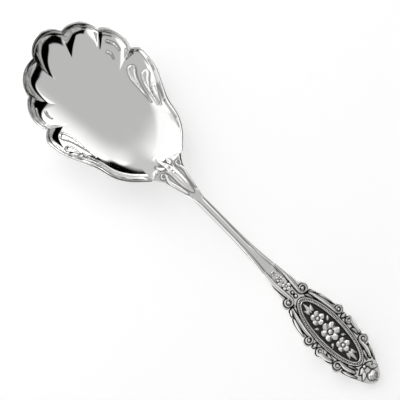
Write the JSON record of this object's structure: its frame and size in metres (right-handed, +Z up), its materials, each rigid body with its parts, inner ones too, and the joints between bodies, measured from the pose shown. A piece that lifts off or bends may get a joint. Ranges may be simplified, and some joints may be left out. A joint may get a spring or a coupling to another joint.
{
  "type": "sugar spoon",
  "caption": "Sugar spoon with a fluted shell-shaped bowl, a reeded arched stem and a scroll-bordered handle plate that carries an oval beaded flower medallion.",
  "frame": {"origin": "middle of the flat on the bowl's underside that the spoon rests on, on the table", "axes": "+X along the spoon to the tip of its handle, +Z up out of the bowl, +Y to the left seen from the bowl towards the handle"},
  "size_m": [0.1566, 0.0456, 0.0099],
  "materials": {
    "polished_silver": "polished",
    "relief_silver": "polished relief with darkened recesses",
    "oxidised_silver": "oxidised matt ground"
  },
  "bodies": {
    "root": {"bowl": "polished_silver", "stem": "polished_silver", "neck_leaf": "relief_silver", "neck_scrolls": "relief_silver", "handle_plate": "relief_silver", "channel_flowers": "relief_silver", "axis_beads": "relief_silver", "border_scrolls_left": "relief_silver", "border_scrolls_right": "relief_silver", "border_leaves_left": "relief_silver", "border_leaves_right": "relief_silver", "medallion_plaque": "oxidised_silver", "medallion_frame": "relief_silver", "bead_border": "relief_silver", "oval_band": "relief_silver", "medallion_rosette": "relief_silver", "medallion_blossoms": "relief_silver", "medallion_leaves": "relief_silver", "tip_leaves": "relief_silver", "tip_shell": "relief_silver"}
  },
  "joints": []
}
